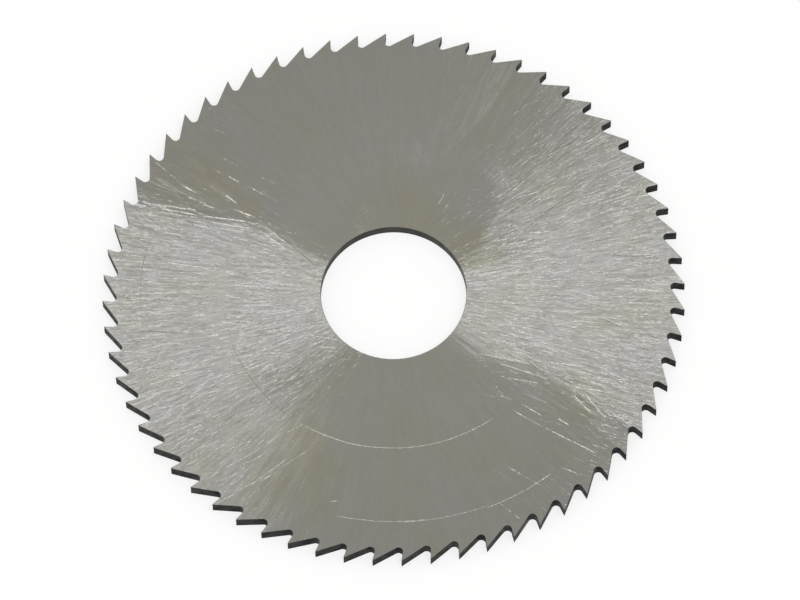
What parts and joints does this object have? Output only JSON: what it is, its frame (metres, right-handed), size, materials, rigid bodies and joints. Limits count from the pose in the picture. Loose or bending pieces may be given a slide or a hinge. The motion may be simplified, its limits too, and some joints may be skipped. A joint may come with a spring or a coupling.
{
  "type": "slitting saw",
  "caption": "Thin toothed disc of ground tool steel with a plain round bore, clamped between flanges on an arbor to cut narrow slots in metal.",
  "frame": {"origin": "on the axis of the bore, at the height of the surface that the teeth lie on", "axes": "+Z along the bore's axis, up; +X through the tip of one tooth; seen from +Z the teeth point clockwise"},
  "size_m": [0.04, 0.04, 0.001],
  "materials": {
    "ground_tool_steel": "ground, satin, with the grinding lay running outwards from the bore"
  },
  "bodies": {
    "root": {"saw_blade": "ground_tool_steel"}
  },
  "joints": []
}
